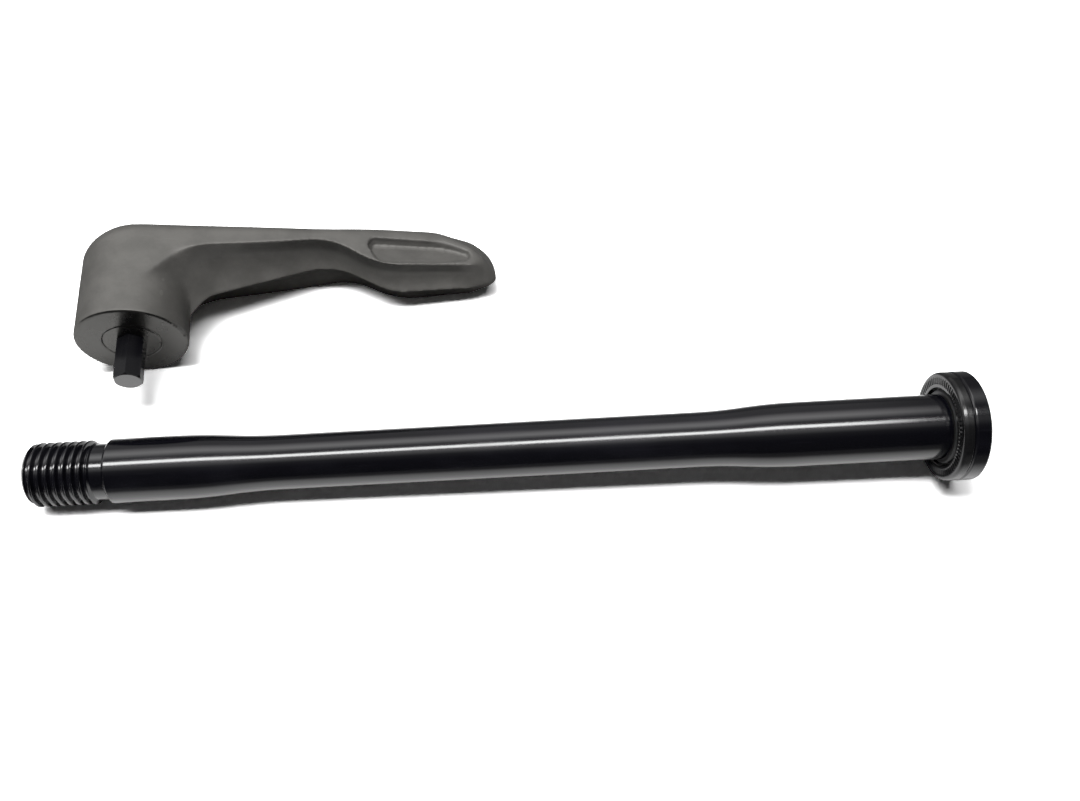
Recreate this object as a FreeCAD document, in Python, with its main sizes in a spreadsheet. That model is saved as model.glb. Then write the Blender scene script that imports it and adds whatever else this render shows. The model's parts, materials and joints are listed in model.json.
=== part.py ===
import FreeCAD, Part
import math
import os
import re
import Sketcher

# A 12 mm through axle for a bicycle wheel, lying beside the lever that drives it.
# X runs along the axle, thread end first, Y away from the viewer, Z up.
# The origin is on the axle's axis, at the face that clamps the dropout.

os.makedirs("parts", exist_ok=True)
doc = FreeCAD.newDocument("through_axle")
sheet = doc.addObject("Spreadsheet::Sheet", "Sizes")

# Driving dimensions in millimetres, angles in degrees.
SIZES = [
    # Axle, from the clamping face towards the thread
    ("journal_diameter", 12.0),
    ("head_journal_length", 31.0),
    ("head_taper_length", 9.6),
    ("waist_diameter", 10.25),
    ("waist_length", 85.0),
    ("tip_taper_length", 10.4),
    ("tip_journal_length", 16.9),
    ("journal_chamfer", 0.5),
    ("neck_diameter", 10.5),
    ("neck_length", 2.3),
    ("thread_diameter", 11.9),
    ("thread_length", 12.4),
    ("thread_chamfer", 1.0),
    # Axle head, with the spigot that carries the washer
    ("spigot_diameter", 11.6),
    ("flange_diameter", 20.0),
    ("flange_thickness", 3.0),
    ("flange_chamfer", 0.35),
    ("socket_flats", 5.06),
    ("socket_depth", 9.5),
    ("socket_chamfer", 0.5),
    # Serrated washer that spins on the axle
    ("washer_diameter", 20.0),
    ("washer_thickness", 2.0),
    ("washer_rounding", 0.45),
    ("washer_back_chamfer", 0.2),
    ("running_gap", 0.05),
    ("recess_diameter", 14.5),
    ("recess_depth", 1.2),
    ("tooth_count", 72),
    ("groove_share", 0.88),
    ("tooth_depth", 0.25),
    ("tooth_inner_diameter", 15.4),
    ("tooth_outer_diameter", 18.6),
    # Rubber ring that keeps the washer on the axle
    ("ring_width", 0.95),
    ("ring_height", 1.0),
    ("ring_chamfer", 0.25),
    ("ring_gap", 0.1),
    # Lever: a forging with flat sides that close in from the hub to the paddle
    ("hub_diameter", 21.3),
    ("hub_chamfer", 0.4),
    ("lever_depth", 22.2),
    ("side_angle", 5.0),
    ("back_rounding", 2.6),
    ("arm_length", 38.6),
    ("root_width", 16.7),
    ("root_radius", 5.0),
    ("elbow_reach", 3.3),
    ("elbow_width", 12.0),
    ("crest_width", 4.8),
    ("crest_radius", 12.0),
    ("heel_length", 12.3),
    ("paddle_width", 12.2),
    ("heel_radius", 10.0),
    ("paddle_length", 21.85),
    ("tip_radius", 2.0),
    ("tip_rise", 1.0),
    ("nose_radius", 7.0),
    # How far the ridge of each side stands back from the parting line
    ("elbow_lift", 6.4),
    ("elbow_hollow", 0.6),
    ("elbow_draw", 3.0),
    ("elbow_radius", 14.0),
    ("crest_lift", 1.3),
    ("heel_lift", 2.25),
    ("heel_ridge_radius", 15.0),
    ("heel_draw", 2.4),
    ("tip_lift", 3.0),
    ("tip_overrun", 3.3),
    ("tip_ridge_radius", 2.5),
    ("nose_draw", 14.2),
    ("nose_ridge_radius", 14.6),
    # How far along the arm, and how much lower, the paddle's curves begin on the lower side
    ("lower_lag", 4.0),
    ("lower_drop", 0.3),
    # Thumb recess in the upper side of the paddle
    ("leaf_start", 45.2),
    ("leaf_length", 23.4),
    ("leaf_margin", 4.1),
    ("leaf_width", 5.0),
    ("leaf_rounding", 1.1),
    ("leaf_lip", 0.25),
    ("leaf_lean", 15.0),
    ("leaf_draft", 18.0),
    # Drive: a hexagon pin in a round insert
    ("insert_diameter", 11.0),
    ("insert_depth", 14.0),
    ("insert_chamfer", 0.15),
    ("pin_flats", 5.0),
    ("pin_reach", 8.9),
    ("pin_chamfer", 0.3),
    ("press_gap", 0.01),
    # Where the lever lies: its hub face from the clamping face, and its turn
    ("lever_x", -151.0),
    ("lever_y", 25.5),
    ("lever_turn", 2.4),
]
for row, (name, number) in enumerate(SIZES, start=1):
    sheet.set(f"A{row}", name)
    sheet.set(f"B{row}", str(number))
    sheet.setAlias(f"B{row}", name)
doc.recompute()

NAMES = re.compile(r"\b(" + "|".join(sorted((name for name, _ in SIZES), key=len, reverse=True)) + r")\b")


def bound(expression):
    # Points every size's name in an expression at its cell.
    return NAMES.sub(r"Sizes.\1", str(expression))


def value(expression):
    # The number that an expression on the sizes has now.
    return float(sheet.evalExpression(bound(expression)))


def bind(thing, **expressions):
    # Binds properties of an object to expressions on the sizes.
    for name, expression in expressions.items():
        thing.setExpression(name, bound(expression))


def origin_plane(body, role):
    return next(item for item in body.Origin.OriginFeatures if item.Role == role)


def new_body(label):
    body = doc.addObject("PartDesign::Body", label)
    body.Label = label
    return body


def new_sketch(body, name, role):
    sketch = body.newObject("Sketcher::SketchObject", name)
    sketch.AttachmentSupport = [(origin_plane(body, role), "")]
    sketch.MapMode = "FlatFace"
    return sketch


def pin_point(sketch, geometry, end, x, y):
    # Fixes one point of a sketch by its distances from the sketch's origin.
    for kind, expression in (("DistanceX", x), ("DistanceY", y)):
        index = sketch.addConstraint(Sketcher.Constraint(kind, -1, 1, geometry, end, value(expression)))
        sketch.setExpression(f"Constraints[{index}]", bound(expression))


def outline(sketch, corners):
    # A closed outline of straight edges through corners given as (x, y) or (x, y, radius).
    # A corner with a radius becomes an arc tangent to both of its edges.
    points = [FreeCAD.Vector(value(c[0]), value(c[1]), 0) for c in corners]
    count = len(points)
    starts, ends, arcs = list(points), list(points), {}
    for i, corner in enumerate(corners):
        if len(corner) < 3:
            continue
        back = (points[i - 1] - points[i]).normalize()
        ahead = (points[(i + 1) % count] - points[i]).normalize()
        radius = value(corner[2])
        half = back.getAngle(ahead) / 2
        reach = radius / math.tan(half)
        centre = points[i] + (back + ahead).normalize() * (radius / math.sin(half))
        ends[i], starts[i] = points[i] + back * reach, points[i] + ahead * reach
        middle = centre + (points[i] - centre).normalize() * radius
        arcs[i] = Part.Arc(ends[i], middle, starts[i])
    lines = [sketch.addGeometry(Part.LineSegment(starts[i], ends[(i + 1) % count])) for i in range(count)]
    for i, corner in enumerate(corners):
        before = lines[i - 1]
        if i not in arcs:
            sketch.addConstraint(Sketcher.Constraint("Coincident", before, 2, lines[i], 1))
            pin_point(sketch, lines[i], 1, corner[0], corner[1])
            continue
        arc = sketch.addGeometry(arcs[i])
        backward = arcs[i].toShape().Curve.Axis.z < 0
        first, last = (2, 1) if backward else (1, 2)
        mark = sketch.addGeometry(Part.Point(points[i]), True)
        pin_point(sketch, mark, 1, corner[0], corner[1])
        sketch.addConstraint(Sketcher.Constraint("PointOnObject", mark, 1, before))
        sketch.addConstraint(Sketcher.Constraint("PointOnObject", mark, 1, lines[i]))
        sketch.addConstraint(Sketcher.Constraint("Tangent", before, 2, arc, first))
        sketch.addConstraint(Sketcher.Constraint("Tangent", arc, last, lines[i], 1))
        index = sketch.addConstraint(Sketcher.Constraint("Radius", arc, value(corner[2])))
        sketch.setExpression(f"Constraints[{index}]", bound(corner[2]))


def hexagon(sketch, flats, upright=False):
    # A hexagon about the sketch's origin, with corners left and right, or up and down if upright.
    corner = f"{flats} / sqrt(3)"
    side = f"{flats} / 2"
    half = f"{flats} / sqrt(12)"
    points = [(corner, "0"), (half, side), (f"-{half}", side), (f"-{corner}", "0"),
              (f"-{half}", f"-{side}"), (half, f"-{side}")]
    outline(sketch, [(y, x) for x, y in points] if upright else points)


def turned(body, name, corners, feature="PartDesign::Revolution"):
    # Turns an outline of (station, radius) corners about the body's X axis.
    sketch = new_sketch(body, f"{name}_outline", "XZ_Plane")
    outline(sketch, corners)
    turn = body.newObject(feature, name)
    turn.Profile = sketch
    turn.ReferenceAxis = (sketch, ["H_Axis"])
    turn.Angle = 360
    doc.recompute()
    return turn


def prism(body, name, sketch, feature, length, reverse=False, both=False):
    pad = body.newObject(feature, name)
    pad.Profile = sketch
    pad.Midplane = both
    pad.Reversed = reverse
    bind(pad, Length=length)
    doc.recompute()
    return pad


# Stations along the axle, from the clamping face
waist_end = "(head_journal_length + head_taper_length)"
waist_start = f"({waist_end} + waist_length)"
tip_journal = f"({waist_start} + tip_taper_length)"
neck_station = f"({tip_journal} + tip_journal_length)"
thread_station = f"({neck_station} + neck_length)"
axle_end = f"({thread_station} + thread_length)"
flange_face = "(washer_thickness + running_gap)"
head_end = f"({flange_face} + flange_thickness)"

# The axle rests on the washer's rim and on the first full turn of its thread.
rest_tilt = ("atan((washer_diameter - thread_diameter) / 2"
             f" / (washer_rounding + {axle_end} - thread_chamfer))")
floor_level = f"(washer_rounding * sin({rest_tilt}) - washer_diameter / 2 * cos({rest_tilt}))"


def lay_on_axle(body):
    body.setExpression("Placement", bound(
        f"placement(vector(0; 0; 0); rotation(vector(0; 1; 0); -({rest_tilt})))"))


def build_axle():
    body = new_body("axle")
    journal = "journal_diameter / 2"
    turned(body, "axle_turning", [
        (f"-{axle_end}", "0"),
        (f"-{axle_end}", "thread_diameter / 2 - thread_chamfer"),
        (f"-{axle_end} + thread_chamfer", "thread_diameter / 2"),
        (f"-{thread_station} - (thread_diameter - neck_diameter) / 2", "thread_diameter / 2"),
        (f"-{thread_station}", "neck_diameter / 2"),
        (f"-{neck_station}", "neck_diameter / 2"),
        (f"-{neck_station}", f"{journal} - journal_chamfer"),
        (f"-{neck_station} + journal_chamfer", journal),
        (f"-{tip_journal}", journal),
        (f"-{waist_start}", "waist_diameter / 2"),
        (f"-{waist_end}", "waist_diameter / 2"),
        ("-head_journal_length", journal),
        ("0", journal),
        ("0", "spigot_diameter / 2"),
        (flange_face, "spigot_diameter / 2"),
        (flange_face, "flange_diameter / 2 - flange_chamfer"),
        (f"{flange_face} + flange_chamfer", "flange_diameter / 2"),
        (f"{head_end} - flange_chamfer", "flange_diameter / 2"),
        (head_end, "flange_diameter / 2 - flange_chamfer"),
        (head_end, "0"),
    ])
    socket = new_sketch(body, "socket_outline", "YZ_Plane")
    bind(socket, **{"AttachmentOffset.Base.z": head_end})
    hexagon(socket, "socket_flats")
    prism(body, "socket", socket, "PartDesign::Pocket", "socket_depth")
    mouth = "socket_flats / sqrt(3)"
    turned(body, "socket_mouth", [
        (head_end, "0"),
        (f"{head_end} - socket_chamfer", "0"),
        (f"{head_end} - socket_chamfer", mouth),
        (head_end, f"{mouth} + socket_chamfer / 2"),
    ], "PartDesign::Groove")
    lay_on_axle(body)
    return body


def build_washer():
    body = new_body("serrated_washer")
    rim = "washer_diameter / 2"
    bore = "spigot_diameter / 2 + running_gap"
    turned(body, "washer_turning", [
        ("0", "recess_diameter / 2"),
        ("0", rim, "washer_rounding"),
        ("washer_thickness - washer_back_chamfer", rim),
        ("washer_thickness", f"{rim} - washer_back_chamfer"),
        ("washer_thickness", bore),
        ("recess_depth", bore),
        ("recess_depth", "recess_diameter / 2"),
    ])
    # One groove between two teeth, cut outwards in the face and then repeated round it
    groove = new_sketch(body, "tooth_groove_outline", "XY_Plane")
    bind(groove, **{"AttachmentOffset.Base.z": "tooth_inner_diameter / 2"})
    half_width = "tooth_outer_diameter / 2 * tan(180 / tooth_count) * groove_share"
    outline(groove, [("-tooth_depth", f"-2 * {half_width}"), ("-tooth_depth", f"2 * {half_width}"),
                     ("tooth_depth", "0")])
    cut = prism(body, "tooth_groove", groove, "PartDesign::Pocket",
                "(tooth_outer_diameter - tooth_inner_diameter) / 2", reverse=True)
    teeth = body.newObject("PartDesign::PolarPattern", "teeth")
    teeth.Originals = [cut]
    teeth.Axis = (origin_plane(body, "X_Axis"), [""])
    teeth.Angle = 360
    bind(teeth, Occurrences="tooth_count")
    body.Tip = teeth
    doc.recompute()
    lay_on_axle(body)
    return body


def build_ring():
    body = new_body("retaining_ring")
    inner, outer = "spigot_diameter / 2", "(spigot_diameter / 2 + ring_width)"
    front, back = "(recess_depth - ring_gap - ring_height)", "(recess_depth - ring_gap)"
    turned(body, "ring_turning", [
        (front, inner),
        (front, f"{outer} - ring_chamfer"),
        (f"{front} + ring_chamfer", outer),
        (f"{back} - ring_chamfer", outer),
        (back, f"{outer} - ring_chamfer"),
        (back, inner),
    ])
    lay_on_axle(body)
    return body


def lay_lever(body):
    # The lever lies on one flat side: its hub and its paddle both touch the floor.
    body.setExpression("Placement", bound(
        f"placement(vector(lever_x; lever_y; {floor_level} + hub_diameter / 2);"
        " rotation(vector(0; 0; 1); lever_turn) * rotation(vector(0; 1; 0); side_angle))"))


# Corners of the lever's inner outline, in its own axes: X along the arm from the pin,
# Y from the hub's face to its back. The back is straight.
crest_x = "arm_length"
heel_x = "(arm_length + heel_length)"
tip_x = f"({heel_x} + paddle_length)"
far = f"({tip_x} + hub_diameter)"
over = "(lever_depth + hub_diameter)"
root_y = "(lever_depth - root_width)"
elbow_y = "(lever_depth - elbow_width)"
crest_y = "(lever_depth - crest_width)"
heel_y = "(lever_depth - paddle_width)"
hub_radius = "hub_diameter / 2"


def lever_cut(body, name, level, near, out, lag):
    # What is cut away from the slab at one level. The walls stand back from the parting line by a
    # share of their draft, near the hub and further out, so that they are hollow below the ridge.
    # Lag is 1 on the lower side, where the paddle begins further along the arm, and 0 elsewhere.
    sketch = new_sketch(body, name, "XY_Plane")
    bind(sketch, **{"AttachmentOffset.Base.z": level})
    side = f"{hub_radius} * (1 - {near})"
    outline(sketch, [
        (side, "-hub_diameter"),
        (side, root_y, "root_radius"),
        (f"{hub_radius} + elbow_reach - elbow_draw * {near}", f"{elbow_y} + elbow_lift * {near}",
         f"root_radius + (elbow_radius - root_radius) * {near}"),
        (f"{crest_x} + lower_lag * {lag}", f"{crest_y} + crest_lift * {out} - lower_drop * {lag}",
         "crest_radius"),
        (f"{heel_x} - heel_draw * {out} + lower_lag * {lag}", f"{heel_y} + heel_lift * {out}",
         f"heel_radius + (heel_ridge_radius - heel_radius) * {out}"),
        (f"{tip_x} + tip_overrun * {out}", f"{heel_y} + tip_rise + tip_lift * {out}",
         f"tip_radius + (tip_ridge_radius - tip_radius) * {out}"),
        (f"{tip_x} - nose_draw * {out}", "lever_depth",
         f"nose_radius + (nose_ridge_radius - nose_radius) * {out}"),
        (f"{hub_radius} + arm_length", "lever_depth"),
        (f"{hub_radius} + arm_length", over),
        (far, over),
        (far, "-hub_diameter"),
    ])
    return sketch


def build_lever():
    body = new_body("lever")
    # Slab seen from above: the hub's circle with two tangent sides
    slab = new_sketch(body, "slab_outline", "XZ_Plane")
    touch_x, touch_z = f"{hub_radius} * sin(side_angle)", f"{hub_radius} * cos(side_angle)"
    end_x = f"({tip_x} + tip_overrun)"
    end_z = f"({hub_radius} - {end_x} * sin(side_angle)) / cos(side_angle)"
    points = [FreeCAD.Vector(value(x), value(z), 0) for x, z in (
        (touch_x, touch_z), (f"-{hub_radius}", "0"), (touch_x, f"-{touch_z}"),
        (end_x, f"-{end_z}"), (end_x, end_z))]
    slab.addGeometry(Part.Arc(points[0], points[1], points[2]))
    for first, last in ((2, 3), (3, 4), (4, 0)):
        slab.addGeometry(Part.LineSegment(points[first], points[last]))
    slab.addConstraint(Sketcher.Constraint("Coincident", 0, 3, -1, 1))
    slab.addConstraint(Sketcher.Constraint("Tangent", 0, 2, 1, 1))
    slab.addConstraint(Sketcher.Constraint("Coincident", 1, 2, 2, 1))
    slab.addConstraint(Sketcher.Constraint("Coincident", 2, 2, 3, 1))
    slab.addConstraint(Sketcher.Constraint("Tangent", 3, 2, 0, 1))
    radius = slab.addConstraint(Sketcher.Constraint("Radius", 0, value(hub_radius)))
    slab.setExpression(f"Constraints[{radius}]", bound(hub_radius))
    pin_point(slab, 2, 1, end_x, f"-{end_z}")
    pin_point(slab, 2, 2, end_x, end_z)
    doc.recompute()
    prism(body, "slab", slab, "PartDesign::Pad", "lever_depth", reverse=True)
    round_back(body)
    level = f"({hub_radius} + hub_chamfer)"
    cuts = [lever_cut(body, f"{name}_cut", f"{share} * {level}", *shares) for name, share, *shares in (
        ("lower", -1, 1, 1, 1), ("lower_middle", -0.5, "elbow_hollow", 1, 1), ("parting", 0, 0, 0, 0),
        ("upper_middle", 0.5, "elbow_hollow", 1, 0), ("upper", 1, 1, 1, 0))]
    doc.recompute()
    walls = body.newObject("PartDesign::SubtractiveLoft", "inner_walls")
    walls.Profile = cuts[0]
    walls.Sections = cuts[1:]
    walls.Ruled = True
    doc.recompute()
    if walls.Shape.Volume > walls.BaseFeature.Shape.Volume - 1:
        raise RuntimeError("the lever's inner walls cut nothing")
    hub = new_sketch(body, "hub_outline", "XZ_Plane")
    circle(hub, hub_radius)
    prism(body, "hub", hub, "PartDesign::Pad", "lever_depth - back_rounding", reverse=True)
    add_leaf(body)
    bore = new_sketch(body, "bore_outline", "XZ_Plane")
    circle(bore, "insert_diameter / 2")
    prism(body, "bore", bore, "PartDesign::Pocket", "insert_depth")
    chamfer_face(body)
    lay_lever(body)
    return body


def circle(sketch, radius):
    index = sketch.addGeometry(Part.Circle(FreeCAD.Vector(), FreeCAD.Vector(0, 0, 1), value(radius)))
    sketch.addConstraint(Sketcher.Constraint("Coincident", index, 3, -1, 1))
    size = sketch.addConstraint(Sketcher.Constraint("Radius", index, value(radius)))
    sketch.setExpression(f"Constraints[{size}]", bound(radius))


def edges_where(feature, wanted):
    # Names of the feature's edges whose two ends both satisfy a condition.
    names = []
    for number, edge in enumerate(feature.Shape.Edges, start=1):
        if all(wanted(edge.valueAt(at)) for at in (edge.FirstParameter, edge.LastParameter)):
            names.append(f"Edge{number}")
    return names


def dress(body, name, feature, names, size, expression):
    base = body.Tip
    edge = body.newObject(feature, name)
    edge.Base = (base, names)
    bind(edge, **{size: expression})
    doc.recompute()


def round_back(body):
    # The rim round the back of the hub and arm, where the flat sides meet the back
    depth, radius, angle = value("lever_depth"), value(hub_radius), math.radians(value("side_angle"))

    def on_rim(point):
        on_side = abs(point.z) * math.cos(angle) + point.x * math.sin(angle) > radius - 0.01
        return point.y > depth - 0.01 and on_side

    dress(body, "back_edges", "PartDesign::Fillet", edges_where(body.Tip, on_rim), "Radius", "back_rounding")


def add_leaf(body):
    # The recess is drawn on its own floor, which leans down from a low lip towards the back,
    # and is cut out of the flat side above it.
    leaf = new_sketch(body, "leaf_outline", "XY_Plane")
    top = "(lever_depth - leaf_margin)"
    rise = f"({hub_radius} - leaf_lip + ({top} - leaf_width) * tan(leaf_lean))"
    leaf.setExpression("AttachmentOffset", bound(
        f"placement(vector({rise} * sin(side_angle); 0; {rise} * cos(side_angle));"
        " rotation(vector(0; 1; 0); side_angle) * rotation(vector(1; 0; 0); -leaf_lean))"))

    def across(share):
        return f"({top} - leaf_width * {share}) / cos(leaf_lean)"

    outline(leaf, [
        ("leaf_start", across(0), "leaf_rounding"),
        ("leaf_start + leaf_length * 0.1", across(1), "leaf_rounding * 2.3"),
        ("leaf_start + leaf_length * 0.6", across(0.98), "leaf_rounding * 9"),
        ("leaf_start + leaf_length", across(0.6), "leaf_rounding"),
        ("leaf_start + leaf_length * 0.65", across(0.08), "leaf_rounding * 9"),
    ])
    recess = prism(body, "leaf", leaf, "PartDesign::Pocket", "leaf_width", reverse=True)
    bind(recess, TaperAngle="leaf_draft")
    doc.recompute()


def chamfer_face(body):
    # The edge of the hub's front face
    radius = value(hub_radius)

    def on_face(point):
        return abs(point.y) < 0.01 and math.hypot(point.x, point.z) > radius - 0.01

    dress(body, "face_edge", "PartDesign::Chamfer", edges_where(body.Tip, on_face), "Size", "hub_chamfer")


def build_insert():
    body = new_body("pin_insert")
    ring = new_sketch(body, "insert_outline", "XZ_Plane")
    circle(ring, "insert_diameter / 2 - press_gap")
    prism(body, "insert", ring, "PartDesign::Pad", "insert_depth", reverse=True)

    def on_rim(point):
        return abs(point.y) < 0.01

    dress(body, "insert_edge", "PartDesign::Chamfer", edges_where(body.Tip, on_rim), "Size", "insert_chamfer")
    hole = new_sketch(body, "pin_hole_outline", "XZ_Plane")
    hexagon(hole, "(pin_flats + 2 * press_gap)", upright=True)
    prism(body, "pin_hole", hole, "PartDesign::Pocket", "insert_depth")
    lay_lever(body)
    return body


def build_pin():
    body = new_body("hex_pin")
    bar = new_sketch(body, "pin_outline", "XZ_Plane")
    bind(bar, **{"AttachmentOffset.Base.z": "pin_reach"})
    hexagon(bar, "pin_flats", upright=True)
    prism(body, "pin", bar, "PartDesign::Pad", "pin_reach + insert_depth", reverse=True)
    corner = "pin_flats / sqrt(3)"
    cone = new_sketch(body, "pin_end_outline", "XY_Plane")
    outline(cone, [(f"{corner} - 1.4 * pin_chamfer", "-pin_reach"), (corner, "-pin_reach + pin_chamfer"),
                   (f"{corner} + pin_chamfer", "-pin_reach + pin_chamfer"),
                   (f"{corner} + pin_chamfer", "-pin_reach - pin_chamfer"),
                   (f"{corner} - 1.4 * pin_chamfer", "-pin_reach - pin_chamfer")])
    end = body.newObject("PartDesign::Groove", "pin_end")
    end.Profile = cone
    end.ReferenceAxis = (cone, ["V_Axis"])
    end.Angle = 360
    doc.recompute()
    lay_lever(body)
    return body


bodies = [build_axle(), build_washer(), build_ring(), build_lever(), build_insert(), build_pin()]
doc.recompute()

failed = [item.Name for item in doc.Objects if "Invalid" in item.State or "Error" in item.State]
if failed:
    raise RuntimeError("features failed: " + ", ".join(failed))
for body in bodies:
    if not body.Shape.isValid() or len(body.Shape.Solids) != 1:
        raise RuntimeError(f"{body.Label} isn't one valid solid")
    body.Shape.exportStep(f"parts/{body.Label}.step")
    print(body.Label, round(body.Shape.Volume, 1), "mm3")
print("rest tilt", round(value(rest_tilt), 4), "floor", round(value(floor_level), 4))
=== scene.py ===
import json
import math

import bmesh
import bpy
import numpy as np
from mathutils import Matrix, Vector


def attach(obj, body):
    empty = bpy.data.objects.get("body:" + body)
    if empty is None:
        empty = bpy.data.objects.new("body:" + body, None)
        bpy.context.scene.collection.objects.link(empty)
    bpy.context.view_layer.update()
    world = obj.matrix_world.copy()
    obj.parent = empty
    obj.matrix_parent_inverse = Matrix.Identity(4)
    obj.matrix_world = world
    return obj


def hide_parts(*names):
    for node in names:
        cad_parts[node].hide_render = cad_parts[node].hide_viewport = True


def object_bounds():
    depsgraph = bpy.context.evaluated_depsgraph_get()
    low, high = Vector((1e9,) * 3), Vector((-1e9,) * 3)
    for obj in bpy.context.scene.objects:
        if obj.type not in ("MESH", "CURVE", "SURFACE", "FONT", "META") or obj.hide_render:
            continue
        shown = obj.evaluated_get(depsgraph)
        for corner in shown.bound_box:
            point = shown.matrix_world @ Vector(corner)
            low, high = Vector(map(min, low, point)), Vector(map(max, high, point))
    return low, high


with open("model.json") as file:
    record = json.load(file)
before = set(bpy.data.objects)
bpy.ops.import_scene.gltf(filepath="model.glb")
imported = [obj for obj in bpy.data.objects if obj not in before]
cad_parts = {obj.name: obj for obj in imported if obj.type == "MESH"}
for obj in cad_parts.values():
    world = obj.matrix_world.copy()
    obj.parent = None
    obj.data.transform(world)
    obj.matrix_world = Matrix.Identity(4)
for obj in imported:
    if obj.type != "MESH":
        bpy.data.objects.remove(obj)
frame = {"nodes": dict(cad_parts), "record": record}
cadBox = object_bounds()
print("frame: nodes", ", ".join(sorted(frame["nodes"])))

mm = 0.001
tiny = 1e-9               # added to a length that something is divided by
weldDistance = 0.002      # millimetres, within which a CAD node's loose triangles are joined
rootBody = "axle_and_lever"
mounts = {mount["name"]: mount for mount in frame["record"]["mounts"]}
floorLevel = cadBox[0][2]


def unit(vector):
    vector = np.asarray(vector, float)
    return vector / np.linalg.norm(vector)


def smoothStep(value, low, high):
    # 0 below low, 1 above high, smooth between
    share = np.clip((value - low) / (high - low), 0, 1)
    return share * share * (3 - 2 * share)


def window(value, rise, fall):
    # grows from 0 to 1 over the rise and goes back to 0 over the fall
    return smoothStep(value, *rise) * (1 - smoothStep(value, *fall))


# axle frame: x along the axle towards its head, y across the floor, z nearly up
axleX = -unit(mounts["head_journal"]["axis"])
axleY = np.array([0.0, 1.0, 0.0])
axleZ = np.cross(axleX, axleY)
axleFrame = np.array([axleX, axleY, axleZ])

# lever frame: u along the arm, v from the hub's face to its back, w through the thickness
sideAngle = math.radians(5.0)
leverOrigin = np.array(mounts["hex_drive"]["pos_m"]) / mm
leverV = -unit(mounts["hex_drive"]["axis"])
flatX = np.cross(leverV, (0.0, 0.0, 1.0))
leverU = flatX * math.cos(sideAngle) - np.array([0.0, 0.0, math.sin(sideAngle)])
leverW = np.cross(leverU, leverV)
leverFrame = np.array([leverU, leverV, leverW])


class Wire:
    # a socket of a node tree: sums, differences, products and quotients of wires add Math nodes

    def __init__(self, tree, socket=None):
        self.tree, self.socket = tree, socket

    def node(self, kind, settings=None, inputs=None, out=0):
        # any node: its settings first, a ramp's stops among them, then its sockets' values or links
        made = self.tree.nodes.new(kind)
        for key, value in (settings or {}).items():
            if key == "stops":
                elements = made.color_ramp.elements
                while len(elements) < len(value):
                    elements.new(0.5)
                for element, (place, colour) in zip(elements, value):
                    element.position, element.color = place, (*colour, 1.0)
            else:
                setattr(made, key, value)
        for key, value in (inputs or {}).items():
            if isinstance(value, Wire):
                self.tree.links.new(value.socket, made.inputs[key])
            else:
                made.inputs[key].default_value = value
        return Wire(self.tree, made.outputs[out] if len(made.outputs) else None)

    def twin(self, out):
        # another output of the node that this wire comes from
        return Wire(self.tree, self.socket.node.outputs[out])

    def math(self, operation, first, second=0.0):
        return self.node("ShaderNodeMath", {"operation": operation}, {0: first, 1: second})

    def __add__(self, other):
        return self.math("ADD", self, other)

    def __radd__(self, other):
        return self.math("ADD", other, self)

    def __sub__(self, other):
        return self.math("SUBTRACT", self, other)

    def __rsub__(self, other):
        return self.math("SUBTRACT", other, self)

    def __mul__(self, other):
        return self.math("MULTIPLY", self, other)

    def __rmul__(self, other):
        return self.math("MULTIPLY", other, self)

    def __truediv__(self, other):
        return self.math("DIVIDE", self, other)

    def limited(self, low, high):
        # 0 below low, 1 above high, smooth between
        return self.node("ShaderNodeMapRange", {"interpolation_type": "SMOOTHSTEP"},
                         {"Value": self, "From Min": low, "From Max": high})

    def blend(self, first, second):
        # this wire as the share of the second colour over the first
        return self.node("ShaderNodeMix", {"data_type": "RGBA"}, {0: self, 6: first, 7: second}, out=2)


def newMaterial(name):
    material = bpy.data.materials.new(name)
    material.use_nodes = True
    material.node_tree.nodes.clear()
    return material, Wire(material.node_tree)


def turnedCoords(tree, axes, origin):
    # Object coordinates turned into a piece's own axes, in metres from its origin
    turn = Matrix([list(axis) for axis in axes]).to_euler()
    coords = tree.node("ShaderNodeTexCoord", out="Object")
    shifted = tree.node("ShaderNodeVectorMath", {"operation": "SUBTRACT"}, {0: coords, 1: tuple(origin)})
    return tree.node("ShaderNodeMapping", {"vector_type": "POINT"},
                     {"Vector": shifted, "Rotation": tuple(turn)})


def noise(tree, coords, size, detail, roughness, stretch=(1.0, 1.0, 1.0)):
    # noise whose blotches are about size millimetres across; a stretch below 1 draws them out along its axis
    scaled = tree.node("ShaderNodeVectorMath", {"operation": "MULTIPLY"}, {0: coords, 1: stretch})
    return tree.node("ShaderNodeTexNoise", None, {
        "Vector": scaled, "Scale": 1.0 / (size * mm), "Detail": detail, "Roughness": roughness})


def edgeMask(tree, limits):
    # 1 on sharp edges that stand out, 0 elsewhere
    return tree.node("ShaderNodeNewGeometry", out="Pointiness").limited(*limits)


def surface(tree, values):
    shader = tree.node("ShaderNodeBsdfPrincipled", None, values)
    tree.node("ShaderNodeOutputMaterial", None, {"Surface": shader})


def bump(tree, height, depth):
    # height from 0 to 1 stands for depth millimetres
    return tree.node("ShaderNodeBump", None, {"Height": height, "Strength": 1.0, "Distance": depth * mm})


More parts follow.
